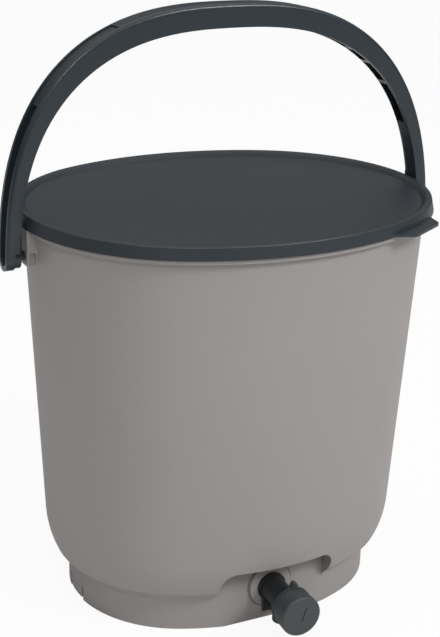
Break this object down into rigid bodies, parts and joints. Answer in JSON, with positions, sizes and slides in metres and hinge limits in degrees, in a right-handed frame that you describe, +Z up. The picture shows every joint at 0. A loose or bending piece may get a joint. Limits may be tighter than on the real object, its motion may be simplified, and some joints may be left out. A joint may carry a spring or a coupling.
{
  "type": "bokashi bin",
  "caption": "Oval kitchen composting bin with a sealed lift-off lid, a swinging arched carrying handle, a lift-out strainer and a quarter-turn drain tap in a niche at the foot.",
  "frame": {"origin": "on the floor, under the middle of the oval bin", "axes": "+Z up, +X along the handle's pivot axis, -Y towards the tap"},
  "size_m": [0.349, 0.2745, 0.4527],
  "materials": {
    "bin_plastic": "matte warm grey, fine moulded texture",
    "lid_plastic": "satin dark slate",
    "handle_plastic": "semi-gloss dark slate",
    "strainer_plastic": "matte dark slate",
    "tap_plastic": "satin near black",
    "knob_plastic": "satin dark slate",
    "seal_rubber": "matte black rubber"
  },
  "bodies": {
    "bin": {"bin_body": "bin_plastic", "tap_body": "tap_plastic", "tap_gasket": "seal_rubber", "tap_washer": "seal_rubber", "tap_nut": "tap_plastic"},
    "lid": {"lid": "lid_plastic", "lid_seal": "seal_rubber"},
    "handle": {"handle": "handle_plastic"},
    "strainer": {"strainer": "strainer_plastic"},
    "valve": {"tap_plug": "tap_plastic", "plug_seal_inner": "seal_rubber", "plug_seal_outer": "seal_rubber", "tap_knob": "knob_plastic"}
  },
  "joints": [
    {"name": "handle_swing", "type": "hinge", "parent": "bin", "child": "handle", "pos_m": [0, 0, 0.2825], "axis": [1, 0, 0], "range_deg": [-122, 125]},
    {"name": "lid_lift", "type": "slide", "parent": "bin", "child": "lid", "axis": [0, 0, 1], "range_m": [0, 0.01]},
    {"name": "strainer_lift", "type": "slide", "parent": "bin", "child": "strainer", "axis": [0, 0, 1], "range_m": [0, 0.2]},
    {"name": "tap_turn", "type": "hinge", "parent": "bin", "child": "valve", "pos_m": [0, -0.12, 0.0284], "axis": [0, 1, 0], "range_deg": [0, 90]}
  ]
}
